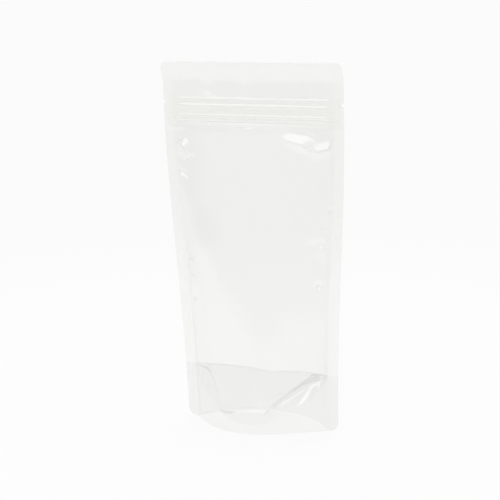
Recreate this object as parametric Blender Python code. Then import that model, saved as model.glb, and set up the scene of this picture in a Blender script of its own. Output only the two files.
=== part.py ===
"""A clear stand-up pouch with a press-to-close zip, empty and standing with its foot pulled open.

Five extruded or blown pieces of film make it: two panels, the gusset folded up between them at the foot,
and the two halves of the zip, one on the inner face of each panel. All of them are welded together in the
flat side seals. The bag stands on z = 0 with its middle over the origin and its front towards -Y.
Lengths are in metres.

Every sheet is worked out from the flat film: a point is "across" from the film's middle line and "up" from
its lower edge, and the functions below say where the standing bag carries it.
"""

import bmesh
import bpy
import numpy as np

# The flat film
FLAT_WIDTH = 0.120
HEIGHT = 0.240
FILM = 0.00012
PLY_GAP = 0.00015
SIDE_SEAL = 0.007
TOP_RADIUS = 0.004
FOOT_RADIUS = 0.006

# The tear notches cut into both edges
NOTCH_DROP = 0.026
NOTCH_DEPTH = 0.0018
NOTCH_HALF_WIDTH = 0.001

# How the bag stands open: how far each panel bellies out at the foot and how full its rounded section is.
# The skew is how much more the front panel bellies out to the right than to the left, below 0 for less
FRONT_BELLY = 0.019
FRONT_FULLNESS = 1.8
FRONT_SKEW = -0.4
BACK_BELLY = 0.0225
BACK_FULLNESS = 2.3
MOUTH_GAP = 0.0006

# The gusset: the height of its fold, and the curved line below which it is welded to the panels
GUSSET_HEIGHT = 0.038
BOTTOM_SEAL = 0.006
SEAL_LINE_POWER = 2.5

# The fold is pushed down to the ground in the middle. Its corners from left to right: a place between the
# seals, which are at -1 and 1, and a share of the fold's full height
FOLD_PLACES = (-1, -0.83, -0.62, -0.07, 0.73, 1)
FOLD_SHARES = (1, 0.9, 0, 0, 0.93, 1)
FLAT_SHARE = 0.5

# The zip: its tapes, then the clasp's section
CLASP_DROP = 0.0363
TAPE = 0.0002
TAPE_ABOVE = 0.0145
TAPE_BELOW = 0.0047
CLASP_DEPTH = 0.0018
CLASP_HALF_BAND = 0.002
CLASP_FADE = 0.004
CRUSHED_LENGTH = 0.005
CRUSHED_SHARE = 0.3
RIB_STEM = 0.0005
RIB_HEAD = 0.0013
RIB_HEAD_START = 0.00095
RIB_REACH = 0.00155
RIB_TIP = 0.0005
CLASP_FIT = 0.0001
JAW_WALL = 0.00045
JAW_LIP = 0.00035
GRIP_RISES = (0.0074, 0.0106)
GRIP_WIDTH = 0.0007
GRIP_HEIGHT = 0.0003

# Broad dents of the film: across, up, half width, half height, depth inwards
FRONT_DENTS = (
    (-0.041, 0.170, 0.009, 0.010, 0.0012),
    (0.038, 0.182, 0.010, 0.008, 0.0010),
    (-0.043, 0.088, 0.007, 0.012, 0.0010),
    (0.043, 0.115, 0.007, 0.014, 0.0011),
    (0.005, 0.095, 0.030, 0.035, 0.0012),
)
BACK_DENTS = (
    (0.040, 0.150, 0.009, 0.014, 0.0012),
    (-0.040, 0.120, 0.009, 0.016, 0.0012),
    (0.010, 0.070, 0.028, 0.020, 0.0014),
)

DENT_FADE = 0.01

# How finely the sheets are divided
FREE_COLUMNS = 20
SEAL_COLUMN_SHARES = (0.07, 0.21, 0.5)
FOOT_ROWS = 3
GUSSET_ROWS = 3
BODY_ROWS = 17
HEADER_ROWS = 3
LEAF_ROWS = 3
MEMBRANE_ROWS = 12
SECTION_STEPS = 101
CHORD_ROUNDS = 30

HALF_WIDTH = FLAT_WIDTH / 2
HALF_FREE = HALF_WIDTH - SIDE_SEAL
CLASP_UP = HEIGHT - CLASP_DROP
TAPE_TOP = CLASP_UP + TAPE_ABOVE
TAPE_BOTTOM = CLASP_UP - TAPE_BELOW
BODY_TOP = CLASP_UP - CLASP_HALF_BAND
NOTCH_UP = HEIGHT - NOTCH_DROP
FOOT_BAND = 2 * FOOT_RADIUS
TOP_BAND = 2 * TOP_RADIUS
LEAF_PLY = FILM + PLY_GAP
TAPE_PLY = TAPE + PLY_GAP


def smooth(share):
    """0 below 0 and 1 above 1, with an S-curve between."""
    share = np.clip(share, 0, 1)
    return share * share * (3 - 2 * share)


def between_seals(across):
    """Place between the side seals: -1 at the left one, 1 at the right one, and no further in them."""
    return np.clip(across / HALF_FREE, -1, 1)


def opened(up):
    """Share of the foot's belly that is left at a height: all of it at the foot, none from the zip up."""
    return 1 - np.clip(up / BODY_TOP, 0, 1) ** 2


def belly(side, across, up):
    """How far a panel bellies out from the seals. Its side is -1 for the front and 1 for the back."""
    front = (FRONT_BELLY, FRONT_FULLNESS, FRONT_SKEW)
    depth, fullness, skew = front if side < 0 else (BACK_BELLY, BACK_FULLNESS, 0)
    free = between_seals(across)
    return depth * opened(up) * (1 - np.abs(free) ** fullness) * (1 + skew * free * opened(up))


def half_chord(up):
    """Half the way between the side seals at a height.

    Film doesn't stretch, so the seals draw in until the back panel's rounded section is as long as the flat
    film between them. The front panel bellies out less and has some slack.
    """
    free = np.linspace(0, 1, SECTION_STEPS)
    slope = np.gradient(1 - free**BACK_FULLNESS, free) * BACK_BELLY
    chord = np.full(np.shape(up), HALF_FREE)
    for _ in range(CHORD_ROUNDS):
        length = np.hypot(chord[..., None], opened(up)[..., None] * slope).mean(axis=-1)
        chord = chord * HALF_FREE / length
    return chord


def end_share(across):
    """1 between the seals, falling evenly to 0 at each of them, where the clasp is crushed flat."""
    return np.clip((HALF_FREE - np.abs(across)) / CRUSHED_LENGTH, 0, 1)


def zip_gap(up):
    """Half the room that the closed clasp keeps between the tapes, which fades to that of the slack mouth."""
    clasp = (CLASP_DEPTH - PLY_GAP) / 2
    mouth = MOUTH_GAP / 2
    return clasp + (mouth - clasp) * smooth((up - CLASP_UP - CLASP_HALF_BAND) / CLASP_FADE)


def opening(side, across, up):
    """How far the middle plane's gap opens to a side: nothing in the seals, all of the belly between them."""
    return belly(side, across, up) + zip_gap(up) * end_share(across)


def stretch(side, across, up):
    """How much further apart plies lie along Y where the section turns away from the middle plane."""
    step = CRUSHED_LENGTH / 100
    inner = across - np.sign(across) * step
    slope = (belly(side, inner, up) - belly(side, across, up)) / (step * half_chord(up) / HALF_FREE)
    return np.hypot(1, slope)


def seam_plane():
    """Y of the seals, which puts the middle of the foot's two bellies over the origin."""
    across = np.linspace(-HALF_FREE, HALF_FREE, SECTION_STEPS)
    return (belly(-1, across, 0.0).max() - belly(1, across, 0.0).max()) / 2


def ply_at(side, across, up, depth_in_stack):
    """Y of a ply that lies at a depth in the stack of plies, measured from the middle plane."""
    reach = depth_in_stack * stretch(side, across, up) + opening(side, across, up)
    return seam_plane() + side * reach


def corner(across, radius):
    """How far a rounded corner of the film stands in from its straight end."""
    beyond = np.clip(np.abs(across) - (HALF_WIDTH - radius), 0, radius)
    return radius - np.sqrt(radius**2 - beyond**2)


def trimmed(across, up):
    """The height after the corners are rounded: rows near an end draw in with its edge."""
    foot = corner(across, FOOT_RADIUS) * np.clip(1 - up / FOOT_BAND, 0, 1)
    top = corner(across, TOP_RADIUS) * np.clip(1 - (HEIGHT - up) / TOP_BAND, 0, 1)
    return up + foot - top


def sideways(across, up):
    """x of a point of the film, with its edge drawn in at the tear notch."""
    free = between_seals(across)
    notch = np.clip(1 - np.abs(up - NOTCH_UP) / NOTCH_HALF_WIDTH, 0, 1)
    cut = NOTCH_DEPTH * notch * np.clip((np.abs(across) - HALF_FREE) / SIDE_SEAL, 0, 1)
    return half_chord(up) * free + across - HALF_FREE * free - np.sign(across) * cut


def film_columns():
    """Places across the film that every sheet shares, so that neighbouring plies stay parallel."""
    inner = np.linspace(CRUSHED_LENGTH - HALF_FREE, HALF_FREE - CRUSHED_LENGTH, FREE_COLUMNS + 1)
    seal = HALF_WIDTH - SIDE_SEAL * np.array((0, *SEAL_COLUMN_SHARES, 1))
    return np.concatenate([-seal, inner, seal[::-1]])


def distinct(heights):
    """Rising heights, with those that only rounding tells apart made one."""
    return np.unique(np.round(heights, 7))


def notch_rows():
    """Heights of the tear notch's three corners."""
    return NOTCH_UP + NOTCH_HALF_WIDTH * np.array((-1, 0, 1))


def tape_rows():
    """Heights of the tapes' rows."""
    faded = CLASP_UP + CLASP_HALF_BAND + CLASP_FADE * np.array((0, 0.5, 1))
    rows = np.concatenate([[TAPE_BOTTOM, BODY_TOP], faded, notch_rows(), [TAPE_TOP]])
    return distinct(rows[rows <= TAPE_TOP])


def panel_rows():
    """Heights of the panels' rows, among them those of the tapes."""
    return distinct(
        np.concatenate([
            np.linspace(0, FOOT_BAND, FOOT_ROWS + 1),
            np.linspace(FOOT_BAND, GUSSET_HEIGHT + LEAF_PLY, GUSSET_ROWS + 1),
            np.linspace(GUSSET_HEIGHT + LEAF_PLY, TAPE_BOTTOM, BODY_ROWS + 1),
            tape_rows(),
            notch_rows(),
            np.linspace(TAPE_TOP, HEIGHT, HEADER_ROWS + 1),
        ])
    )


def ply_room(up):
    """Room for what lies between a panel and the middle plane: a leaf of the gusset, or a tape of the zip."""
    leaf = LEAF_PLY * smooth(1 - (up - GUSSET_HEIGHT - LEAF_PLY) / GUSSET_HEIGHT)
    past_tape = np.maximum(TAPE_BOTTOM - up, up - TAPE_TOP)
    return leaf + TAPE_PLY * smooth(1 - past_tape / TAPE_BELOW)


def dent_depth(across, up, dents):
    """How far the dents push the film in at a point, fading to nothing at the seals."""
    depth = sum(
        deep * np.exp(-(((across - at) / wide) ** 2) - ((up - high) / tall) ** 2)
        for at, high, wide, tall, deep in dents
    )
    above_leaf = smooth((up - GUSSET_HEIGHT) / DENT_FADE)
    below_tape = smooth((TAPE_BOTTOM - up) / DENT_FADE)
    return depth * end_share(across) * above_leaf * below_tape


def clear_film(name, colour, roughness, alpha):
    """A glossy clear plastic."""
    material = bpy.data.materials.new(name)
    material.use_nodes = True
    shader = material.node_tree.nodes["Principled BSDF"]
    shader.inputs["Base Color"].default_value = (*colour, 1)
    shader.inputs["Roughness"].default_value = roughness
    shader.inputs["Metallic"].default_value = 0
    shader.inputs["Alpha"].default_value = alpha
    return material


def grid_object(name, x, y, z, material):
    """A mesh of four-sided faces over a grid of points."""
    rows, columns = x.shape
    points = np.stack([x, y, z], axis=-1).reshape(-1, 3)
    index = np.arange(rows * columns).reshape(rows, columns)
    faces = np.stack([index[:-1, :-1], index[:-1, 1:], index[1:, 1:], index[1:, :-1]], axis=-1)
    mesh = bpy.data.meshes.new(name)
    mesh.from_pydata(points.tolist(), [], faces.reshape(-1, 4).tolist())
    mesh.materials.append(material)
    mesh.shade_smooth()
    built = bpy.data.objects.new(name, mesh)
    bpy.context.scene.collection.objects.link(built)
    return built


def thicken(sheet, thickness):
    """Gives a sheet its thickness, half to each side."""
    solidify = sheet.modifiers.new("thickness", "SOLIDIFY")
    solidify.thickness = thickness
    solidify.offset = 0
    solidify.use_rim = True


def panel(name, side, dents, material):
    """One panel. Its side is -1 for the front and 1 for the back."""
    across, up = np.meshgrid(film_columns(), panel_rows())
    y = ply_at(side, across, up, PLY_GAP / 2 + FILM / 2 + ply_room(up))
    y = y - side * dent_depth(across, up, dents)
    sheet = grid_object(name, sideways(across, up), y, trimmed(across, up), material)
    thicken(sheet, FILM)


def seal_line(across):
    """Height of the curved line below which the gusset's leaves are welded to the panels."""
    free = np.clip(np.abs(across) / HALF_FREE, 0, 1)
    return BOTTOM_SEAL + (GUSSET_HEIGHT - BOTTOM_SEAL) * free**SEAL_LINE_POWER


def fold_line(across):
    """Height of the gusset's fold, which lies on the ground where it is pushed down."""
    share = np.interp(between_seals(across), FOLD_PLACES, FOLD_SHARES)
    return FILM / 2 + (GUSSET_HEIGHT - FILM / 2) * share


def gusset(material):
    """The gusset's sheet: up the front panel to the seal line, across by the fold, and down the back panel."""
    across = film_columns()
    low, high = seal_line(across), fold_line(across)
    ply = PLY_GAP / 2 + FILM / 2
    leaf_up = low * np.linspace(0, 1, LEAF_ROWS + 1)[:, None]
    front = ply_at(-1, across, leaf_up, ply)
    back = ply_at(1, across, leaf_up, ply)
    turn = np.linspace(-1, 1, MEMBRANE_ROWS + 1)[1:-1, None]
    trough = np.clip((np.abs(turn) - FLAT_SHARE) / (1 - FLAT_SHARE), 0, 1)
    down = np.where(high < low, trough, np.abs(turn))
    rounded = np.where(high < low, 0, ply * np.sqrt(1 - turn**2))
    web_up = high + (low - high) * down + rounded
    web = front[-1] + (back[-1] - front[-1]) * (turn + 1) / 2
    up = np.concatenate([leaf_up, web_up, leaf_up[::-1]])
    y = np.concatenate([front, web, back[::-1]])
    across = np.broadcast_to(across, up.shape)
    sheet = grid_object("bottom_gusset", sideways(across, up), y, trimmed(across, up), material)
    thicken(sheet, FILM)


def bar(name, side, rise, profile):
    """A solid bar along a tape's inner face, kept as a helper that the tape is joined with.

    The profile gives heights from the bar's middle and how far it stands off the tape. It stands lower in
    the crushed ends, in step with the room between the tapes.
    """
    columns = film_columns()
    end = HALF_FREE - CRUSHED_SHARE * CRUSHED_LENGTH
    across = np.concatenate([[-end], columns[np.abs(columns) < end], [end]])[:, None]
    middle = CLASP_UP + rise
    room = PLY_GAP / 2 + opening(side, across, middle)
    heights, stands = np.array(profile).T
    shrink = room / room.max()
    y = seam_plane() + side * (room - np.where(stands > 0, stands * shrink, stands))
    x, y, z = np.broadcast_arrays(sideways(across, middle), y, middle + heights)
    index = np.arange(x.size).reshape(x.shape)
    after = np.roll(index, -1, axis=1)
    sides = np.stack([index[:-1], after[:-1], after[1:], index[1:]], axis=-1).reshape(-1, 4)
    caps = [index[0].tolist(), index[-1].tolist()]
    shape = bmesh.new()
    corners = [shape.verts.new(point) for point in np.stack([x, y, z], axis=-1).reshape(-1, 3)]
    for face in sides.tolist() + caps:
        shape.faces.new([corners[corner] for corner in face])
    bmesh.ops.recalc_face_normals(shape, faces=shape.faces)
    mesh = bpy.data.meshes.new(name)
    shape.to_mesh(mesh)
    shape.free()
    helper = bpy.data.objects.new(name, mesh)
    bpy.context.scene.collection.objects.link(helper)
    helper.hide_render = True
    helper.display_type = "WIRE"
    return helper


def rib_profile():
    """The arrow-headed rib's section."""
    root = -TAPE / 2
    half = [
        (RIB_STEM / 2, root),
        (RIB_STEM / 2, RIB_HEAD_START),
        (RIB_HEAD / 2, RIB_HEAD_START),
        (RIB_TIP / 2, RIB_REACH),
    ]
    return half + [(-height, stand) for height, stand in reversed(half)]


def jaw_profile(way):
    """The section of one hooked jaw of the groove, above its middle where way is 1 and below it for -1."""
    root = -TAPE / 2
    cavity = RIB_HEAD / 2 + CLASP_FIT
    mouth = RIB_STEM / 2 + CLASP_FIT
    outside = cavity + JAW_WALL
    hook = CLASP_DEPTH - RIB_HEAD_START + CLASP_FIT
    hook_end = hook + JAW_LIP
    section_points = [
        (cavity, root),
        (cavity, hook),
        (mouth, hook),
        (mouth, hook + JAW_LIP / 2),
        (mouth + JAW_LIP / 2, hook_end),
        (outside, hook_end),
        (outside, root),
    ]
    return [(way * height, stand) for height, stand in section_points]


def grip_profile():
    """The section of a small grip rib."""
    return [
        (-GRIP_WIDTH / 2, -TAPE / 2),
        (-GRIP_WIDTH / 4, GRIP_HEIGHT),
        (GRIP_WIDTH / 4, GRIP_HEIGHT),
        (GRIP_WIDTH / 2, -TAPE / 2),
    ]


def zip_strip(name, side, bars, material):
    """A tape of the zip, welded to a panel's inner face, joined with the bars extruded on it."""
    across, up = np.meshgrid(film_columns(), tape_rows())
    y = ply_at(side, across, up, PLY_GAP / 2 + TAPE / 2)
    strip = grid_object(name, sideways(across, up), y, trimmed(across, up), material)
    thicken(strip, TAPE)
    for helper in bars:
        union = strip.modifiers.new(helper.name, "BOOLEAN")
        union.operation = "UNION"
        union.solver = "EXACT"
        union.object = helper


def rib_strip(material):
    """The zip's front half: the arrow-headed rib, with grip ribs above it."""
    bars = [bar("clasp_rib", -1, 0, rib_profile())]
    bars += [bar("grip_rib", -1, rise, grip_profile()) for rise in GRIP_RISES]
    zip_strip("zipper_rib_strip", -1, bars, material)


def groove_strip(material):
    """The zip's back half: two hooked jaws that hold the rib's head."""
    bars = [bar("groove_jaw", 1, 0, jaw_profile(way)) for way in (-1, 1)]
    zip_strip("zipper_groove_strip", 1, bars, material)


def build():
    """Clears the scene and makes the bag's five pieces."""
    for old in list(bpy.data.objects):
        bpy.data.objects.remove(old)
    panel("front_panel", -1, FRONT_DENTS, clear_film("clear_film", (0.93, 0.94, 0.94), 0.08, 0.25))
    panel("back_panel", 1, BACK_DENTS, clear_film("clear_film_back", (0.91, 0.93, 0.93), 0.08, 0.25))
    gusset(clear_film("clear_gusset_film", (0.92, 0.93, 0.94), 0.1, 0.3))
    rib_strip(clear_film("zip_plastic", (0.88, 0.91, 0.90), 0.2, 0.45))
    groove_strip(clear_film("zip_plastic_back", (0.86, 0.90, 0.89), 0.2, 0.45))


build()
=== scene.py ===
"""The looks of a clear stand-up pouch with a press-to-close zip, empty and standing with its foot open.

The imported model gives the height, the width and where each piece is. Every sheet of film is a function of
two lengths on the flat film: "across" from its middle line and "up" from its lower edge. The functions
below say where the standing bag carries such a point, and how the film is creased there. Lengths are in
metres.
"""

import bmesh
import bpy
import numpy as np
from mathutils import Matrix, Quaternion, Vector


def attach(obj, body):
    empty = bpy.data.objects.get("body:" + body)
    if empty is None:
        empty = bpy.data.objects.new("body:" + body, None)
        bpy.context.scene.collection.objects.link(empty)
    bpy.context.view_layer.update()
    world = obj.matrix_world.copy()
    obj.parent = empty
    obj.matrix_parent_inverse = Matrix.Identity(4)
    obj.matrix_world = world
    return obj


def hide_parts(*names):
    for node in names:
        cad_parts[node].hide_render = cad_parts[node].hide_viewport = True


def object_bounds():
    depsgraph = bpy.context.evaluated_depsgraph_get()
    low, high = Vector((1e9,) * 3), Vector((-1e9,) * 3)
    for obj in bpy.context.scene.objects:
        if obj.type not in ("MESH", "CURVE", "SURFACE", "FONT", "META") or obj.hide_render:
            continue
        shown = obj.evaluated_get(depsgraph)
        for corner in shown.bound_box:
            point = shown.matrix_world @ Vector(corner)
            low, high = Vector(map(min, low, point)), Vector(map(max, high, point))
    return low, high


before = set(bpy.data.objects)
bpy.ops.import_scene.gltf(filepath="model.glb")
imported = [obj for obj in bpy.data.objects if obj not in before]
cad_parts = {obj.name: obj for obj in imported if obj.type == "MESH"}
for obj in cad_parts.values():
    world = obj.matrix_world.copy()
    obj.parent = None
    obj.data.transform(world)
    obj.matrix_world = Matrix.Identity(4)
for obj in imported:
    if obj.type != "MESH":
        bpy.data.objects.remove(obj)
cad_low, cad_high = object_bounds()

# The bag's two sides, as ways along Y
FRONT = -1
BACK = 1

# The flat film
FLAT_WIDTH = cad_high[0] - cad_low[0]
HEIGHT = cad_high[2] - cad_low[2]
FILM = 0.00012
PLY_GAP = 0.00015
SIDE_SEAL = 0.007
TOP_RADIUS = 0.004
FOOT_RADIUS = 0.006
HALF_WIDTH = FLAT_WIDTH / 2
HALF_FREE = HALF_WIDTH - SIDE_SEAL

# The tear notches
NOTCH_UP = HEIGHT - 0.026
NOTCH_DEPTH = 0.0018
NOTCH_HALF_WIDTH = 0.001

# How far and how full each panel bellies out at the foot. A skew below 0 makes the front fuller at its left
FRONT_BELLY = 0.019
FRONT_FULLNESS = 1.8
FRONT_SKEW = -0.4
BACK_BELLY = 0.0225
BACK_FULLNESS = 2.3

# The gusset: the height of its fold, and the curved line that it is welded along
GUSSET_HEIGHT = 0.038
BOTTOM_SEAL = 0.006
SEAL_LINE_POWER = 2.5
LEAF_PLY = FILM + PLY_GAP

# The corners of the pushed-down fold: places between the seals, and shares of the fold's full height
FOLD_PLACES = (-1, -0.83, -0.67, -0.07, 0.73, 1)
FOLD_SHARES = (1, 0.9, 0, 0, 0.93, 1)
FOLD_SOFTNESS = 0.03
FOLD_SAMPLES = 9

# How far back the fold lies and how round it is. Then how the web sags from the welds where the fold is
# pushed down below them, and over what drop that sets in
FOLD_BACK = 0.62
FOLD_BACK_POWER = 4
FOLD_ROUNDNESS = 0.03
SAG_POWER = 1.3
SAG_OVER = 0.004

# The gusset's spare film: a wave of it against the back panel
SLACK_TOP = 0.0305
SLACK_POWER = 1.6
SLACK_TURN = 0.84
SLACK_HALF_WIDTH = 0.10

# Creases beside the gusset's fold: the way from the fold, half width and height. Then where along the bag
# they run: from, to, and the way over which they fade
PLEATS = (
    (-0.07, 0.030, 0.0016),
    (-0.19, 0.030, 0.0013),
    (-0.32, 0.034, 0.0010),
    (0.10, 0.03, 0.0012),
    (0.24, 0.03, 0.0008),
)
PLEAT_RUNS = ((-0.10, 0.90, 0.15), (-0.92, -0.45, 0.10))

# How much painted shade the gusset's folds get: a share on the left, all of it on the right, and less
# along the crest of the slack
LEFT_FOLD_SHADE = 0.25
FOLD_SHADE_FROM = -0.2
FOLD_SHADE_OVER = 0.3
CREST_SHADE_LOSS = 0.8
CREST_HALF_WIDTH = 2 * SLACK_HALF_WIDTH
CREST_FROM = 0.4 * SLACK_TOP

# The zip's two tapes, the room that the clasp takes up between them, and how it fades to the slack mouth's
CLASP_UP = HEIGHT - 0.0363
TAPE = 0.0002
TAPE_TOP = CLASP_UP + 0.0145
TAPE_BOTTOM = CLASP_UP - 0.0047
TAPE_PLY = TAPE + PLY_GAP
TAPE_STEPS = 25
CLASP_DEPTH = 0.0018
CLASP_HALF_BAND = 0.002
CLASP_FADE = 0.0125
MOUTH_GAP = 0.0006
CRUSHED_LENGTH = 0.005
BODY_TOP = CLASP_UP - CLASP_HALF_BAND

# What is extruded on the tapes: the arrow-headed rib, the hooked jaws that hold it, and the grip ribs
RIB_STEM = 0.0005
RIB_HEAD = 0.0013
RIB_HEAD_START = 0.00095
RIB_REACH = 0.00155
RIB_TIP = 0.0005
CLASP_FIT = 0.0001
JAW_WALL = 0.00045
JAW_LIP = 0.00035
JAW_ROOT = 0.0003
GRIP_RISES = (0.0074, 0.0106)
GRIP_WIDTH = 0.0007
GRIP_HEIGHT = 0.0003
SHARP_EDGE = np.radians(30)
SAME_PLACE = 1e-6

# Low waves of the film over the tapes: height over the clasp, and how far they stand out. Then how wide
# they are above and below their crests, their share on the back panel, and how much of their bend adds
# to the painted shade of folds
EMBOSSED = (
    (0.0125, 0.00024),
    (0.0083, 0.00028),
    (0.0063, -0.00012),
    (0.0020, 0.00034),
    (-0.0001, 0.00016),
    (-0.0012, -0.00014),
)
EMBOSSED_ABOVE = 0.0012
EMBOSSED_BELOW = 0.0008
EMBOSSED_BEHIND = 0.4
EMBOSSED_FOLD_SHADE = 0.35

# The header buckles back a little over the zip and curls to the front at its top, slightly more at its
# right. Then where across the bag the curl grows, over what way, and the height that it starts from
HEADER_LEAN_LEFT = 0.0024
HEADER_LEAN_RIGHT = 0.0028
HEADER_BUCKLE = 0.0009
HEADER_LEAN_FROM = -0.012
HEADER_LEAN_OVER = 0.030
HEADER_CURL_FROM = TAPE_TOP - 0.006

# Broad dents: across, up, half width, half height, depth inwards
FRONT_DENTS = (
    (-0.046, 0.176, 0.008, 0.010, 0.0018),
    (0.040, 0.180, 0.012, 0.009, 0.0013),
    (-0.043, 0.088, 0.007, 0.012, 0.0010),
    (0.043, 0.115, 0.007, 0.014, 0.0011),
    (0.005, 0.110, 0.030, 0.030, 0.0004),
)
BACK_DENTS = (
    (0.040, 0.150, 0.009, 0.014, 0.0012),
    (-0.040, 0.120, 0.009, 0.016, 0.0012),
    (0.010, 0.070, 0.028, 0.020, 0.0014),
)
DENT_FADE = 0.01

# Small puckers beside the side seals and under the zip: across, up, half width, half height, depth
PUCKERS = (
    (-0.0485, 0.1112, 0.0030, 0.0021, 0.0021),
    (-0.0485, 0.1000, 0.0030, 0.0020, 0.0020),
    (-0.0478, 0.0838, 0.0026, 0.0019, 0.0018),
    (0.0510, 0.1472, 0.0013, 0.0024, 0.0007),
    (0.0505, 0.1370, 0.0015, 0.0018, 0.0007),
    (0.0462, 0.1262, 0.0026, 0.0020, 0.0017),
    (0.0400, 0.1250, 0.0030, 0.0020, 0.0008),
    (0.0450, 0.0988, 0.0026, 0.0022, 0.0017),
    (0.0330, 0.1490, 0.0040, 0.0040, 0.0006),
    (0.0370, 0.1860, 0.0011, 0.0010, 0.0005),
    (0.0394, 0.1850, 0.0010, 0.0010, -0.0004),
    (0.0352, 0.1872, 0.0010, 0.0012, -0.0004),
)

# Creases of the front panel: across and up at both ends, half width, and height out to the front
FRONT_CREASES = (
    (0.0200, 0.1935, 0.0430, 0.1860, 0.0034, 0.0018),
    (0.0390, 0.1830, 0.0560, 0.1890, 0.0034, 0.0024),
    (0.0320, 0.1985, 0.0470, 0.1905, 0.0018, -0.0004),
    (-0.0488, 0.1900, -0.0440, 0.1780, 0.0038, 0.0030),
    (-0.0560, 0.1720, -0.0430, 0.1655, 0.0018, -0.0008),
    (-0.0300, 0.1880, -0.0292, 0.2030, 0.0016, -0.0003),
    (-0.0192, 0.1790, -0.0186, 0.2060, 0.0018, -0.0004),
    (-0.0073, 0.1740, -0.0064, 0.2060, 0.0026, -0.0005),
    (-0.0025, 0.1840, -0.0021, 0.2060, 0.0018, 0.0003),
    (0.0065, 0.1770, 0.0069, 0.2060, 0.0017, -0.0005),
    (0.0165, 0.1810, 0.0160, 0.2060, 0.0020, -0.0003),
)
CREASE_FADE = 0.0015

# Creases that both plies of the header share
HEADER_CREASES = (
    (-0.0400, 0.2340, -0.0220, 0.2160, 0.0030, -0.00045),
    (-0.0100, 0.2300, 0.0000, 0.2170, 0.0035, -0.00030),
)

# Random swells of slack film: how many sines, their length and how far it varies, their height, and how
# fast they change up the film as a share of how fast they change across it. Then each panel's seed
SWELL_COUNT = 14
SWELL_LENGTH = 0.026
SWELL_RANGE = (0.7, 1.8)
SWELL_HEIGHT = 0.00018
SWELL_STRETCH = 0.6
FRONT_SEED = 3
BACK_SEED = 8

# The soft edge of a weld, and how much the header's plies and those over the tapes cling together
WELD_EDGE = 0.0008
HEADER_CLING = 0.45
TAPE_CLING = 0.35

# How tightly film is bent, in radians to the metre, where a fold's painted shade starts and where it is
# full. Then the least step and the least normal that the tightness is worked out with
FOLD_SHADE_STARTS = 120
FOLD_SHADE_FULL = 900
SHORTEST_STEP = 1e-5
NO_LENGTH = 1e-12

# How finely the sheets are divided
FREE_COLUMNS = 150
SEAL_COLUMNS = 10
PLAIN_ROWS = 130
CREASED_ROWS = 50
CREASED_FROM = 0.163
TAPE_ROWS = 84
HEADER_ROWS = 20
LEAF_ROWS = 12
FRONT_WEB_ROWS = 40
BACK_WEB_ROWS = 90
BACK_WEB_FROM = 0.2
SECTION_STEPS = 101
CHORD_ROUNDS = 30
SLOPE_STEP = CRUSHED_LENGTH / 100
ROW_DIGITS = 7

# The colour that white light has left after a stack of as many faces of each plastic, and what the plastics
# scatter
STACK_FACES = 120
LAMINATE_TINT = "#b4b59a"
GUSSET_TINT = "#bebeb1"
ZIP_TINT = "#dff289"
MILK = "#e6e8e6"
MILK_ROUGHNESS = 0.6

# How clear film mirrors: head on, how steeply that grows aslant, and the share that fused plies lose
HEAD_ON_GLOSS = 0.04
GLOSS_POWER = 5.0
WELD_GLOSS_LOSS = 0.6

# The film's slight orange peel, and the lines that the die leaves along the zip's tapes: steps a metre, and
# depth. Both are coarser than the real ones, which are too fine to show
PEEL_PACE = 160
PEEL_DEPTH = 0.00006
DIE_LINE_ALONG = 8
DIE_LINE_PACE = 1400
DIE_LINE_DEPTH = 0.00003

# The board: its white near the bag and its painted shade out in front of it, and where one passes to the
# other
BOARD_WHITE = "#fbfbfb"
BOARD_FAR_SHADE = "#a8a8a8"
BOARD_DROP = 0.0001
BOARD_REACH = 8.0
POOL_MIDDLE = (-0.35, 0.10, 0)
POOL_START = 0.52
POOL_END = 0.72
BEHIND_FROM = -0.30
BEHIND_TO = -0.10

# The share of the board's own even brightness beside the bag and away from it, and where it passes over
EVEN_LIGHT = 0.85
EVEN_FAR = 0.995
EVEN_FROM = 0.25
EVEN_TO = 0.60

# The room: grey in front, white behind, and how softly one passes to the other
ROOM_GREY = "#a8a8a8"
ROOM_BLEND = 0.2

# The soft lamps: name, place, width in metres and power in watts
LAMPS = (
    ("overhead", (0.1, 0.4, 1.3), 1.0, 4.5),
    ("front", (-0.40, -1.0, 1.05), 1.3, 9.0),
    ("left", (-0.95, 0.15, 0.42), 0.28, 0.45),
    ("right", (0.95, 0.05, 0.55), 0.3, 0.6),
)

# The camera, set to the photograph's view of the bag
CAMERA_TURN = np.radians(21.077)
CAMERA_LIFT = np.radians(15.13)
CAMERA_ROLL = np.radians(1.976)
CAMERA_DISTANCE = 0.820
CAMERA_TARGET_UP = 0.118
CAMERA_SENSOR = 36
CAMERA_LENS = 91.805
CAMERA_SHIFT = (-0.01312, 0.00407)

# How many faces light passes straight through, and how often it is turned
FACES_PASSED = 64
LIGHT_TURNS = 16


def smooth(share):
    """0 below 0 and 1 above 1, with an S-curve between: three squares less two cubes."""
    share = np.clip(share, 0, 1)
    return share * share * (3 - 2 * share)


def between_seals(across):
    """Place between the side seals: -1 at the left one, 1 at the right one, and no further in them."""
    return np.clip(across / HALF_FREE, -1, 1)


def opened(up):
    """Share of the foot's belly that is left at a height: 1 less the square of the height's share."""
    return 1 - np.clip(up / BODY_TOP, 0, 1) ** 2


def belly(side, across, up):
    """How far a panel bellies out: its depth by 1 less a power of the place between the seals, skewed."""
    front = (FRONT_BELLY, FRONT_FULLNESS, FRONT_SKEW)
    depth, fullness, skew = front if side == FRONT else (BACK_BELLY, BACK_FULLNESS, 0)
    free = between_seals(across)
    return depth * opened(up) * (1 - np.abs(free) ** fullness) * (1 + skew * free * opened(up))


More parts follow.
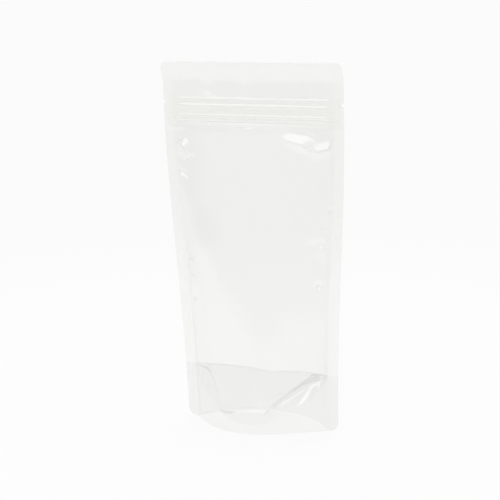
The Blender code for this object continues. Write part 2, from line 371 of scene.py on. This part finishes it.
def half_chord(up):
    """Half the way between the side seals at a height.

    It is drawn in round by round until the back panel's bellied section is as long as the flat film.
    """
    free = np.linspace(0, 1, SECTION_STEPS)
    slope = np.gradient(1 - free**BACK_FULLNESS, free) * BACK_BELLY
    heights, place = np.unique(up, return_inverse=True)
    chord = np.full(heights.shape, HALF_FREE)
    for _ in range(CHORD_ROUNDS):
        length = np.hypot(chord[:, None], opened(heights)[:, None] * slope).mean(axis=1)
        chord = chord * HALF_FREE / length
    return chord[place].reshape(np.shape(up))


def end_share(across):
    """1 between the seals, falling evenly to 0 at each of them."""
    return np.clip((HALF_FREE - np.abs(across)) / CRUSHED_LENGTH, 0, 1)


def zip_gap(up):
    """Half the room between the tapes: what the closed clasp keeps, fading to that of the slack mouth."""
    clasp = (CLASP_DEPTH - PLY_GAP) / 2
    mouth = MOUTH_GAP / 2
    return clasp + (mouth - clasp) * smooth((up - CLASP_UP - CLASP_HALF_BAND) / CLASP_FADE)


def opening(side, across, up):
    """How far a panel lies off the middle plane: its belly, and half the zip's gap, shut at the seals."""
    return belly(side, across, up) + zip_gap(up) * end_share(across)


def stretch(side, across, up):
    """How much further apart plies lie along Y on a slope: the root of 1 and the slope squared."""
    inner = across - np.sign(across) * SLOPE_STEP
    rise = belly(side, inner, up) - belly(side, across, up)
    return np.hypot(1, rise / (SLOPE_STEP * half_chord(up) / HALF_FREE))


def seam_plane():
    """Y of the seals, which puts the middle of the foot's two bellies over the origin."""
    across = np.linspace(-HALF_FREE, HALF_FREE, SECTION_STEPS)
    return (belly(FRONT, across, 0.0).max() - belly(BACK, across, 0.0).max()) / 2


def creased(across, up, places):
    """The sum of creases: each is a bell curve of the way from a straight line, and fades at its ends."""
    total = 0
    for across_1, up_1, across_2, up_2, half_width, height in places:
        run, rise = across_2 - across_1, up_2 - up_1
        along = ((across - across_1) * run + (up - up_1) * rise) / (run**2 + rise**2)
        nearest = np.clip(along, 0, 1)
        away = np.hypot(across - across_1 - nearest * run, up - up_1 - nearest * rise)
        taper = 4 * nearest * (1 - nearest)
        total = total + height * taper * np.exp(-((away / half_width) ** 2))
    return total


def header_lean(across, up):
    """How far the bag's top leans to the front: its rise squared, less a squared sine for the buckle."""
    rise = np.clip((up - HEADER_CURL_FROM) / (HEIGHT - HEADER_CURL_FROM), 0, 1)
    right = smooth((across - HEADER_LEAN_FROM) / HEADER_LEAN_OVER)
    lean = HEADER_LEAN_LEFT + (HEADER_LEAN_RIGHT - HEADER_LEAN_LEFT) * right
    buckle = HEADER_BUCKLE * np.sin(np.pi * rise) ** 2
    return lean * rise**2 - buckle + creased(across, up, HEADER_CREASES)


def ply_at(side, across, up, depth_in_stack):
    """Y of a ply that lies at a depth in the stack of plies, measured from the middle plane."""
    reach = depth_in_stack * stretch(side, across, up) + opening(side, across, up)
    return seam_plane() + side * reach - header_lean(across, up)


def corner(across, radius):
    """How far a rounded corner of the film stands in from its straight end: its radius less the circle."""
    beyond = np.clip(np.abs(across) - (HALF_WIDTH - radius), 0, radius)
    return radius - np.sqrt(radius**2 - beyond**2)


def trimmed(across, up):
    """The height after the corners are rounded: rows near an end draw in with its edge."""
    foot = corner(across, FOOT_RADIUS) * np.clip(1 - up / (2 * FOOT_RADIUS), 0, 1)
    top = corner(across, TOP_RADIUS) * np.clip(1 - (HEIGHT - up) / (2 * TOP_RADIUS), 0, 1)
    return up + foot - top


def sideways(across, up):
    """x of a point: its place between the seals by the half chord, its way into a seal, less the notch."""
    free = between_seals(across)
    notch = np.clip(1 - np.abs(up - NOTCH_UP) / NOTCH_HALF_WIDTH, 0, 1)
    cut = NOTCH_DEPTH * notch * np.clip((np.abs(across) - HALF_FREE) / SIDE_SEAL, 0, 1)
    return half_chord(up) * free + across - HALF_FREE * free - np.sign(across) * cut


def film_columns():
    """Places across the film: even steps between the seals, and even steps in each seal."""
    free = np.linspace(-HALF_FREE, HALF_FREE, FREE_COLUMNS + 1)
    seal = np.linspace(HALF_FREE, HALF_WIDTH, SEAL_COLUMNS + 1)[1:]
    return np.concatenate([-seal[::-1], free, seal])


def panel_rows():
    """Heights of the panels' rows, among them the tear notch's corners."""
    notch = NOTCH_UP + NOTCH_HALF_WIDTH * np.array((-1, 0, 1))
    plain = np.linspace(0, CREASED_FROM, PLAIN_ROWS + 1)
    fine = np.linspace(CREASED_FROM, TAPE_BOTTOM, CREASED_ROWS + 1)
    tape = np.linspace(TAPE_BOTTOM, TAPE_TOP, TAPE_ROWS + 1)
    header = np.linspace(TAPE_TOP, HEIGHT, HEADER_ROWS + 1)
    return np.unique(np.round(np.concatenate([plain, fine, tape, header, notch]), ROW_DIGITS))


def ply_room(up):
    """Room for what lies between a panel and the middle plane.

    It is a ply of the gusset up to its height, a tape beside the zip, and fades softly past each of them.
    """
    leaf = LEAF_PLY * smooth(1 - (up - GUSSET_HEIGHT - LEAF_PLY) / GUSSET_HEIGHT)
    past_tape = np.maximum(TAPE_BOTTOM - up, up - TAPE_TOP)
    return leaf + TAPE_PLY * smooth(1 - past_tape / (CLASP_UP - TAPE_BOTTOM))


def dimples(across, up, places):
    """The sum of rounded hollows, each a bell curve of the distance from its middle."""
    total = 0
    for at, high, wide, tall, deep in places:
        total = total + deep * np.exp(-(((across - at) / wide) ** 2) - ((up - high) / tall) ** 2)
    return total


def swells(across, up, seed):
    """Low random swells: sines of about one length in random directions, longer up the film than across."""
    chance = np.random.default_rng(seed)
    total = 0
    for _ in range(SWELL_COUNT):
        turn, phase = chance.uniform(0, 2 * np.pi, 2)
        pace = 2 * np.pi / (SWELL_LENGTH * chance.uniform(*SWELL_RANGE))
        along = across * np.cos(turn) + up * SWELL_STRETCH * np.sin(turn)
        total = total + np.sin(along * pace + phase)
    return SWELL_HEIGHT * total / np.sqrt(SWELL_COUNT)


def relief(across, up, dents, small_dents, sharp, seed):
    """How far a panel stands in front of its even surface.

    It is the swells less the dents, and the creases less the puckers. Both fade to nothing at the seals and
    the zip, the second over a shorter way.
    """
    free = smooth((HALF_FREE - np.abs(across)) / CRUSHED_LENGTH)
    above_leaf = smooth((up - GUSSET_HEIGHT) / DENT_FADE)
    below_tape = smooth((TAPE_BOTTOM - up) / DENT_FADE)
    broad = (swells(across, up, seed) - dimples(across, up, dents) * above_leaf) * free * below_tape
    inside = smooth((HALF_FREE - np.abs(across)) / CREASE_FADE) * smooth((TAPE_BOTTOM - up) / CREASE_FADE)
    return broad + (creased(across, up, sharp) - dimples(across, up, small_dents)) * inside


def embossed(across, up):
    """How far the film stands out over the tapes: bell curves of the height, steeper below than above."""
    total = 0
    for rise, height in EMBOSSED:
        past = up - CLASP_UP - rise
        width = np.where(past > 0, EMBOSSED_ABOVE, EMBOSSED_BELOW)
        total = total + height * np.exp(-((past / width) ** 2))
    return total * smooth((HALF_FREE - np.abs(across)) / CRUSHED_LENGTH)


def seal_line(across):
    """Height of the line below which the gusset's leaves are welded to the panels, a power of the place."""
    free = np.clip(np.abs(across) / HALF_FREE, 0, 1)
    return BOTTOM_SEAL + (GUSSET_HEIGHT - BOTTOM_SEAL) * free**SEAL_LINE_POWER


def fold_line(across):
    """Height of the gusset's fold: straight runs between its corners, rounded by a moving average."""
    free = between_seals(across)
    offsets = np.linspace(-FOLD_SOFTNESS, FOLD_SOFTNESS, FOLD_SAMPLES)
    share = sum(np.interp(free + offset, FOLD_PLACES, FOLD_SHARES) for offset in offsets) / FOLD_SAMPLES
    return FILM / 2 + (GUSSET_HEIGHT - FILM / 2) * share


def slack(across, turn, web_up):
    """How much higher the web's spare film stands against the back panel.

    It reaches up to a line that is highest at the seals, by a bell curve of the place on the web.
    """
    free = between_seals(across)
    top = SLACK_TOP + (GUSSET_HEIGHT - SLACK_TOP) * np.abs(free) ** SLACK_POWER
    wave = np.exp(-(((turn - SLACK_TURN) / SLACK_HALF_WIDTH) ** 2))
    return np.maximum(top - web_up, 0) * wave


def pleats(across, from_fold):
    """How far the creases beside the gusset's fold stand up from it, each with a bell-shaped section."""
    free = between_seals(across)
    runs = 0
    for start, end, fade in PLEAT_RUNS:
        runs = runs + smooth((free - start) / fade) * smooth((end - free) / fade)
    total = 0
    for place, half_width, height in PLEATS:
        total = total + height * np.exp(-(((from_fold - place) / half_width) ** 2))
    return total * runs


def bent(x, y, z):
    """How tight a sheet's folds are, from 0 to 1: how far its normal turns on the way to the next point."""
    points = np.stack([x, y, z], axis=-1)
    down, along = np.gradient(points, axis=(0, 1))
    normal = np.cross(along, down)
    normal = normal / np.maximum(np.linalg.norm(normal, axis=-1, keepdims=True), NO_LENGTH)
    turns = []
    for axis, step in ((0, down), (1, along)):
        turned = np.linalg.norm(np.gradient(normal, axis=axis), axis=-1)
        turns.append(turned / np.maximum(np.linalg.norm(step, axis=-1), SHORTEST_STEP))
    return smooth((np.maximum(*turns) - FOLD_SHADE_STARTS) / (FOLD_SHADE_FULL - FOLD_SHADE_STARTS))


def welded(across, up):
    """1 where plies are fused: the side seals and the leaves' welds. The header and tapes cling in part."""
    side = smooth((np.abs(across) - HALF_FREE) / WELD_EDGE)
    leaf = smooth((seal_line(across) - up) / WELD_EDGE)
    tape = smooth((TAPE_TOP - up) / WELD_EDGE)
    header = HEADER_CLING + (TAPE_CLING - HEADER_CLING) * tape
    return np.maximum(np.maximum(side, leaf), header * smooth((up - TAPE_BOTTOM) / WELD_EDGE))


def srgb(code, alpha=1.0):
    """A colour written as six hex digits, turned to linear light."""
    channel = np.array([int(code[i : i + 2], 16) / 255 for i in (1, 3, 5)])
    linear = np.where(channel <= 0.04045, channel / 12.92, ((channel + 0.055) / 1.055) ** 2.4)
    return (*linear.tolist(), alpha)


def passed(code):
    """The share of light that one face lets by: the root, over the stack's faces, of the stack's colour."""
    return tuple(channel ** (1 / STACK_FACES) for channel in srgb(code))


def add(tree, kind, values=None, links=None, **options):
    """Adds a node with its options, the values of its inputs and the outputs linked to them."""
    node = tree.nodes.new(kind)
    for option, value in options.items():
        setattr(node, option, value)
    for place, value in (values or {}).items():
        node.inputs[place].default_value = value
    for place, output in (links or {}).items():
        tree.links.new(output, node.inputs[place])
    return node


def new_material(name):
    """An empty material and its output node."""
    material = bpy.data.materials.new(name)
    material.use_nodes = True
    material.node_tree.nodes.clear()
    return material, add(material.node_tree, "ShaderNodeOutputMaterial")


def pattern(tree, paces, depth):
    """A relief of soft noise on the piece's own coordinates, with its steps to the metre on each axis."""
    place = add(tree, "ShaderNodeTexCoord").outputs["Object"]
    paced = add(tree, "ShaderNodeMapping", {"Scale": paces}, {"Vector": place}).outputs[0]
    noise = add(tree, "ShaderNodeTexNoise", {"Scale": 1.0, "Detail": 2.0}, {"Vector": paced}).outputs[0]
    return add(tree, "ShaderNodeBump", {"Distance": depth}, {"Height": noise}).outputs[0]


def solid_plastic(name, tint, roughness, index):
    """Clear plastic thick enough to bend the light that passes it, with the lines of its die.

    The tapes are fused to the film, so light bends far less at them than at a face in air. For that reason
    the index is much lower than polyethylene's own 1.5.
    """
    material, output = new_material(name)
    tree = material.node_tree
    lines = pattern(tree, (DIE_LINE_ALONG, 1.0, DIE_LINE_PACE), DIE_LINE_DEPTH)
    values = {"Base Color": passed(tint), "Roughness": roughness, "IOR": index, "Transmission Weight": 1.0}
    plastic = add(tree, "ShaderNodeBsdfPrincipled", values, {"Normal": lines}).outputs[0]
    tree.links.new(plastic, output.inputs["Surface"])
    return material


def clear_film(name, tint, milkiness, weld_milkiness, fold_shade_milkiness, roughness, most):
    """Clear plastic film, one face at a time.

    Each face mirrors 4% head on and more aslant, by Schlick's rule for an index of 1.5. The rest passes
    straight on, a little dimmed, or is scattered by the plastic's slight cloudiness. Fused plies have no
    air between them, so they mirror less, and the heat of the seal leaves them a little milkier. Folds get
    painted shade: the film is made cloudier in step with how tightly it is bent, which darkens it there.
    Edges look soft at this size, so no face mirrors more than a set share.
    """
    material, output = new_material(name)
    tree = material.node_tree
    # At this blend, facing is 1 less the cosine of the angle at which a face is seen
    facing = add(tree, "ShaderNodeLayerWeight", {"Blend": 0.5}).outputs["Facing"]
    weld = add(tree, "ShaderNodeAttribute", attribute_name="weld").outputs["Fac"]
    # The fold attribute is painted shade: how tightly the film bends there, from 0 to 1
    fold = add(tree, "ShaderNodeAttribute", attribute_name="fold").outputs["Fac"]

    values = {1: 1 - HEAD_ON_GLOSS, 2: HEAD_ON_GLOSS}
    steep = add(tree, "ShaderNodeMath", {1: GLOSS_POWER}, {0: facing}, operation="POWER").outputs[0]
    mirror = add(tree, "ShaderNodeMath", values, {0: steep}, operation="MULTIPLY_ADD").outputs[0]
    mirror = add(tree, "ShaderNodeMath", {1: most}, {0: mirror}, operation="MINIMUM").outputs[0]
    values = {1: -WELD_GLOSS_LOSS, 2: 1.0}
    loose = add(tree, "ShaderNodeMath", values, {0: weld}, operation="MULTIPLY_ADD").outputs[0]
    mirror = add(tree, "ShaderNodeMath", links={0: mirror, 1: loose}, operation="MULTIPLY").outputs[0]

    values = {1: weld_milkiness - milkiness, 2: milkiness}
    cloud = add(tree, "ShaderNodeMath", values, {0: weld}, operation="MULTIPLY_ADD").outputs[0]
    # Painted shade in folds: more cloudiness there, which darkens the clear film
    values = {1: fold_shade_milkiness}
    cloud = add(tree, "ShaderNodeMath", values, {0: fold, 2: cloud}, operation="MULTIPLY_ADD").outputs[0]

    peel = pattern(tree, (PEEL_PACE, PEEL_PACE, PEEL_PACE), PEEL_DEPTH)
    clear = add(tree, "ShaderNodeBsdfTransparent", {"Color": passed(tint)}).outputs[0]
    values = {"Base Color": srgb(MILK), "Roughness": MILK_ROUGHNESS}
    cloudy = add(tree, "ShaderNodeBsdfPrincipled", values).outputs[0]
    gloss = add(tree, "ShaderNodeBsdfAnisotropic", {"Roughness": roughness}, {"Normal": peel}).outputs[0]
    body = add(tree, "ShaderNodeMixShader", links={0: cloud, 1: clear, 2: cloudy}).outputs[0]
    film = add(tree, "ShaderNodeMixShader", links={0: mirror, 1: body, 2: gloss}).outputs[0]
    tree.links.new(film, output.inputs["Surface"])
    return material


def sheet_object(name, x, y, z, material):
    """A sheet with one corner at each point of a grid and a face between every four."""
    rows, columns = x.shape
    points = np.stack([x, y, z], axis=-1).reshape(-1, 3)
    index = np.arange(rows * columns).reshape(rows, columns)
    faces = np.stack([index[:-1, :-1], index[:-1, 1:], index[1:, 1:], index[1:, :-1]], axis=-1)
    mesh = bpy.data.meshes.new(name)
    mesh.from_pydata(points.tolist(), [], faces.reshape(-1, 4).tolist())
    mesh.materials.append(material)
    mesh.shade_smooth()
    built = bpy.data.objects.new(name, mesh)
    bpy.context.scene.collection.objects.link(built)
    return built


def stand_for(piece, node):
    """The piece rides on the bag's one body and takes the node's place, which is hidden."""
    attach(piece, "root")
    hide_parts(node)


def film_piece(name, node, x, y, z, weld, fold, material):
    """A sheet of film, thickened to both sides, whose points carry its welds and its folds' painted shade.
    """
    sheet = sheet_object(name, x, y, z, material)
    # The fold attribute is painted shade in the folds
    for mark, shares in (("weld", weld), ("fold", fold)):
        sheet.data.attributes.new(mark, "FLOAT", "POINT").data.foreach_set("value", shares.reshape(-1))
    solidify = sheet.modifiers.new("thickness", "SOLIDIFY")
    solidify.thickness = FILM
    solidify.offset = 0
    stand_for(sheet, node)


def panel(name, node, side, dents, small_dents, sharp, seed, material):
    """One panel of film: its place in the stack of plies, with its relief and embossing outwards."""
    across, up = np.meshgrid(film_columns(), panel_rows())
    x, z = sideways(across, up), trimmed(across, up)
    plain = ply_at(side, across, up, PLY_GAP / 2 + FILM / 2 + ply_room(up))
    plain = plain + side * relief(across, up, dents, small_dents, sharp, seed)
    y = plain + side * embossed(across, up) * (1 if side == FRONT else EMBOSSED_BEHIND)
    # Painted shade of folds: how tightly the film bends, part of it from the embossing, none in the seals
    fold = np.maximum(bent(x, plain, z), EMBOSSED_FOLD_SHADE * bent(x, y, z)) * (np.abs(across) < HALF_FREE)
    film_piece(name, node, x, y, z, welded(across, up), fold, material)


def web_turns():
    """Places across the gusset's web from -1 at the front to 1 at the back, closer together at the back."""
    front = np.linspace(-1, BACK_WEB_FROM, FRONT_WEB_ROWS + 1)
    back = np.linspace(BACK_WEB_FROM, 1, BACK_WEB_ROWS + 1)
    return np.concatenate([front[1:], back[1:-1]])


def web_height(across, turn, low, high):
    """Height of the gusset's web between its welds, and never below the ground.

    Where the fold stands higher than the weld, the web comes down from it in even slopes, rounded at the
    fold. Where the fold is pushed down below the weld, the web sags to it: by a power of the place in
    front of the fold, and by an S-curve behind it. Slack and pleats come on top.
    """
    middle = FOLD_BACK * (1 - np.abs(between_seals(across)) ** FOLD_BACK_POWER)
    from_fold = (turn - middle) / (1 - np.sign(turn - middle) * middle)
    trough = np.where(from_fold < 0, np.abs(from_fold) ** SAG_POWER, smooth(from_fold))
    sunk = smooth((low - high) / SAG_OVER)
    down = np.sqrt(from_fold**2 + FOLD_ROUNDNESS**2) * (1 - sunk) + trough * sunk
    web_up = high + (low - high) * np.clip(down, 0, 1)
    web_up = web_up + slack(across, turn, web_up) + pleats(across, from_fold)
    return np.maximum(web_up, FILM / 2)


def gusset(material):
    """The gusset's sheet: up the front panel to the seal line, over the fold, and down the back panel."""
    across = film_columns()
    low, high = seal_line(across), fold_line(across)
    ply = PLY_GAP / 2 + FILM / 2
    leaf_up = low * np.linspace(0, 1, LEAF_ROWS + 1)[:, None]
    wide = np.broadcast_to(across, leaf_up.shape)
    front = ply_at(FRONT, wide, leaf_up, ply)
    back = ply_at(BACK, wide, leaf_up, ply)
    turn = web_turns()[:, None]
    web_up = web_height(across, turn, low, high)
    web = front[-1] + (back[-1] - front[-1]) * (turn + 1) / 2
    up = np.concatenate([leaf_up, web_up, leaf_up[::-1]])
    y = np.concatenate([front, web, back[::-1]])
    across = np.broadcast_to(across, up.shape)
    x, z = sideways(across, up), trimmed(across, up)

    weld = np.concatenate([np.ones_like(leaf_up), np.zeros_like(web_up), np.ones_like(leaf_up)])
    weld = np.maximum(weld, smooth((np.abs(across) - HALF_FREE) / WELD_EDGE + 1))
    # How much painted shade the web's folds get: a share on the left, all on the right, less along the
    # crest
    right = smooth((between_seals(across) - FOLD_SHADE_FROM) / FOLD_SHADE_OVER)
    sharp = LEFT_FOLD_SHADE + (1 - LEFT_FOLD_SHADE) * right
    crest = np.exp(-(((turn - SLACK_TURN) / CREST_HALF_WIDTH) ** 2)) * (web_up > CREST_FROM)
    soft = np.concatenate([np.zeros_like(leaf_up), CREST_SHADE_LOSS * crest, np.zeros_like(leaf_up)])
    # Painted shade of the web's folds, none where it is welded
    fold = bent(x, y, z) * (1 - weld) * sharp * (1 - soft)
    film_piece("gusset_film", "bottom_gusset", x, y, z, weld, fold, material)


def grip_outline(rise):
    """The section of a grip rib, as heights over the clasp and how far it stands off the tape."""
    return [
        (rise + GRIP_WIDTH / 2, 0),
        (rise + GRIP_WIDTH / 4, GRIP_HEIGHT),
        (rise - GRIP_WIDTH / 4, GRIP_HEIGHT),
        (rise - GRIP_WIDTH / 2, 0),
    ]


def rib_outline():
    """The arrow-headed rib's section, from its upper root round to its lower one."""
    half = [
        (RIB_STEM / 2, 0),
        (RIB_STEM / 2, RIB_HEAD_START),
        (RIB_HEAD / 2, RIB_HEAD_START),
        (RIB_TIP / 2, RIB_REACH),
    ]
    return half + [(-height, stand) for height, stand in reversed(half)]


def jaw_outline(way):
    """The section of one hooked jaw, above the clasp's middle where way is 1 and below it for -1."""
    cavity = RIB_HEAD / 2 + CLASP_FIT
    mouth = RIB_STEM / 2 + CLASP_FIT
    outside = cavity + JAW_WALL
    hook = CLASP_DEPTH - RIB_HEAD_START + CLASP_FIT
    points = [
        (outside + JAW_ROOT, 0),
        (outside - JAW_ROOT / 3, hook + JAW_LIP),
        (mouth + JAW_LIP / 2, hook + JAW_LIP),
        (mouth, hook + JAW_LIP / 2),
        (mouth, hook),
        (cavity, hook),
        (cavity, 0),
    ]
    return [(way * height, stand) for height, stand in (points if way > 0 else reversed(points))]


def tape_outline(details):
    """A tape's closed section: up its outer face, then down its inner face past what stands on it."""
    bottom, top = TAPE_BOTTOM - CLASP_UP, TAPE_TOP - CLASP_UP
    outer = [(rise, -TAPE) for rise in np.linspace(bottom, top, TAPE_STEPS)]
    return np.array(outer + [(top, 0), *details, (bottom, 0)])


def zip_strip(name, node, side, details, material):
    """A tape of the zip with what is extruded on it.

    Its section is carried along the film. Near the seals what stands on it shrinks with the room between
    the tapes, because the seals crush it.
    """
    rise, stand = tape_outline(details)[:, :, None].transpose(1, 0, 2)
    across = film_columns()[None, :]
    across = across[:, np.abs(across[0]) < HALF_WIDTH - NOTCH_DEPTH]
    across, up = np.broadcast_arrays(across, CLASP_UP + rise)
    room = PLY_GAP / 2 + opening(side, across, up)
    gap = zip_gap(CLASP_UP)
    shrink = (PLY_GAP / 2 + gap * end_share(across)) / (PLY_GAP / 2 + gap)
    y = seam_plane() + side * (room - np.where(stand > 0, stand * shrink, stand)) - header_lean(across, up)
    x, z = sideways(across, up), trimmed(across, up)
    ring = [np.concatenate([grid, grid[:1]]) for grid in (x, y, z)]
    strip = sheet_object(name, *ring, material)
    shape = bmesh.new()
    shape.from_mesh(strip.data)
    bmesh.ops.remove_doubles(shape, verts=shape.verts, dist=SAME_PLACE)
    bmesh.ops.holes_fill(shape, edges=[edge for edge in shape.edges if edge.is_boundary], sides=0)
    bmesh.ops.recalc_face_normals(shape, faces=shape.faces)
    shape.to_mesh(strip.data)
    shape.free()
    strip.data.set_sharp_from_angle(angle=SHARP_EDGE)
    stand_for(strip, node)


def pouch():
    """The bag's five pieces."""
    # Polyester laminated to polyethylene: clear and glossy, with soft-edged reflections and painted shade
    # in its folds
    film = clear_film(
        "polyester_laminate_film",
        LAMINATE_TINT,
        milkiness=0.005,
        weld_milkiness=0.020,
        fold_shade_milkiness=0.28,
        roughness=0.12,
        most=0.11,
    )
    # The gusset's web of blown polyethylene: as clear and softer, with only faint painted shade in its
    # folds
    gusset_film = clear_film(
        "polyethylene_gusset_film",
        GUSSET_TINT,
        milkiness=0.006,
        weld_milkiness=0.006,
        fold_shade_milkiness=0.03,
        roughness=0.04,
        most=0.07,
    )
    # The zip of extruded polyethylene: uncoloured, so what is thick of it looks faintly yellow-green
    zip_plastic = solid_plastic("extruded_polyethylene", ZIP_TINT, roughness=0.10, index=1.08)
    panel("front_film", "front_panel", FRONT, FRONT_DENTS, PUCKERS, FRONT_CREASES, FRONT_SEED, film)
    panel("back_film", "back_panel", BACK, BACK_DENTS, (), (), BACK_SEED, film)
    gusset(gusset_film)
    grips = [point for rise in reversed(GRIP_RISES) for point in grip_outline(rise)]
    jaws = jaw_outline(1) + jaw_outline(-1)
    zip_strip("zip_rib", "zipper_rib_strip", FRONT, grips + rib_outline(), zip_plastic)
    zip_strip("zip_groove", "zipper_groove_strip", BACK, jaws, zip_plastic)


def matt_board():
    """Matt white card that the bag stands on, overexposed as in the photo.

    What is seen of it is mostly its own plain brightness and the rest is shaded by light, so that the bag
    keeps a trace of a shadow. The shaded share falls to nothing away from the bag. It is white in a round
    pool about the bag and everywhere behind it, and painted grey further out in front: painted shade that
    stands in for the dim room that the film mirrors there.
    """
    material, output = new_material("matt_white_board")
    tree = material.node_tree
    soft = {"interpolation_type": "SMOOTHSTEP"}
    place = add(tree, "ShaderNodeTexCoord").outputs["Object"]
    off = add(tree, "ShaderNodeVectorMath", {1: POOL_MIDDLE}, {0: place}, operation="DISTANCE")
    values = {"From Min": POOL_END, "From Max": POOL_START}
    pool = add(tree, "ShaderNodeMapRange", values, {"Value": off.outputs["Value"]}, **soft).outputs[0]
    y = add(tree, "ShaderNodeSeparateXYZ", links={0: place}).outputs["Y"]
    values = {"From Min": BEHIND_FROM, "From Max": BEHIND_TO}
    behind = add(tree, "ShaderNodeMapRange", values, {"Value": y}, **soft).outputs[0]
    near = add(tree, "ShaderNodeMath", links={0: pool, 1: behind}, operation="MAXIMUM").outputs[0]
    # White near the bag and behind it; the grey further out in front is painted shade
    values = {6: srgb(BOARD_FAR_SHADE), 7: srgb(BOARD_WHITE)}
    colour = add(tree, "ShaderNodeMix", values, {0: near}, data_type="RGBA").outputs[2]

    away = add(tree, "ShaderNodeVectorMath", links={0: place}, operation="LENGTH").outputs["Value"]
    values = {"From Min": EVEN_FROM, "From Max": EVEN_TO, "To Min": EVEN_LIGHT, "To Max": EVEN_FAR}
    even = add(tree, "ShaderNodeMapRange", values, {"Value": away}, **soft).outputs[0]
    ray = add(tree, "ShaderNodeLightPath").outputs
    seen = ray["Is Camera Ray"]
    for kind in ("Is Glossy Ray", "Is Transmission Ray"):
        seen = add(tree, "ShaderNodeMath", links={0: seen, 1: ray[kind]}, operation="MAXIMUM").outputs[0]
    share = add(tree, "ShaderNodeMath", links={0: seen, 1: even}, operation="MULTIPLY").outputs[0]

    matt = add(tree, "ShaderNodeBsdfDiffuse", links={"Color": colour}).outputs[0]
    plain = add(tree, "ShaderNodeEmission", links={"Color": colour}).outputs[0]
    board = add(tree, "ShaderNodeMixShader", links={0: share, 1: matt, 2: plain}).outputs[0]
    tree.links.new(board, output.inputs["Surface"])
    return material


def floor():
    """A wide board just under the bag."""
    corners = [(x, y, -BOARD_DROP) for x, y in ((-1, -1), (1, -1), (1, 1), (-1, 1))]
    mesh = bpy.data.meshes.new("board")
    mesh.from_pydata([(x * BOARD_REACH, y * BOARD_REACH, z) for x, y, z in corners], [], [(0, 1, 2, 3)])
    mesh.materials.append(matt_board())
    board = bpy.data.objects.new("board", mesh)
    bpy.context.scene.collection.objects.link(board)


def softbox(name, place, size, power):
    """A square area lamp that looks at the bag's middle."""
    data = bpy.data.lights.new(name, "AREA")
    data.size = size
    data.energy = power
    lamp = bpy.data.objects.new(name, data)
    bpy.context.scene.collection.objects.link(lamp)
    lamp.location = place
    lamp.rotation_mode = "QUATERNION"
    lamp.rotation_quaternion = (Vector(place) - Vector((0, 0, HEIGHT / 2))).to_track_quat("Z", "Y")


def surroundings():
    """The room: white behind the bag, and grey in front of it, where the camera stands."""
    world = bpy.data.worlds.new("room")
    bpy.context.scene.world = world
    world.use_nodes = True
    tree = world.node_tree
    direction = add(tree, "ShaderNodeTexCoord").outputs["Generated"]
    y = add(tree, "ShaderNodeSeparateXYZ", links={0: direction}).outputs["Y"]
    values = {"From Min": -ROOM_BLEND, "From Max": ROOM_BLEND}
    behind = add(tree, "ShaderNodeMapRange", values, {"Value": y}, interpolation_type="SMOOTHSTEP")
    values = {6: srgb(ROOM_GREY), 7: srgb(BOARD_WHITE)}
    colour = add(tree, "ShaderNodeMix", values, {0: behind.outputs[0]}, data_type="RGBA").outputs[2]
    tree.links.new(colour, tree.nodes["Background"].inputs["Color"])


def studio():
    """The board, the room, and soft lamps over the bag, in front of it and on both sides."""
    floor()
    surroundings()
    for lamp in LAMPS:
        softbox(*lamp)


def camera():
    """The camera, turned round to the right of the bag, above it and slightly rolled."""
    data = bpy.data.cameras.new("camera")
    data.sensor_width = CAMERA_SENSOR
    data.lens = CAMERA_LENS
    data.shift_x, data.shift_y = CAMERA_SHIFT
    view = bpy.data.objects.new("camera", data)
    bpy.context.scene.collection.objects.link(view)
    away = Vector((
        np.sin(CAMERA_TURN) * np.cos(CAMERA_LIFT),
        -np.cos(CAMERA_TURN) * np.cos(CAMERA_LIFT),
        np.sin(CAMERA_LIFT),
    ))
    view.location = Vector((0, seam_plane(), CAMERA_TARGET_UP)) + away * CAMERA_DISTANCE
    view.rotation_mode = "QUATERNION"
    view.rotation_quaternion = away.to_track_quat("Z", "Y") @ Quaternion((0, 0, 1), -CAMERA_ROLL)
    bpy.context.scene.camera = view


pouch()
studio()
camera()
scene = bpy.context.scene
scene.view_settings.view_transform = "Standard"
scene.cycles.transparent_max_bounces = FACES_PASSED
scene.cycles.max_bounces = LIGHT_TURNS
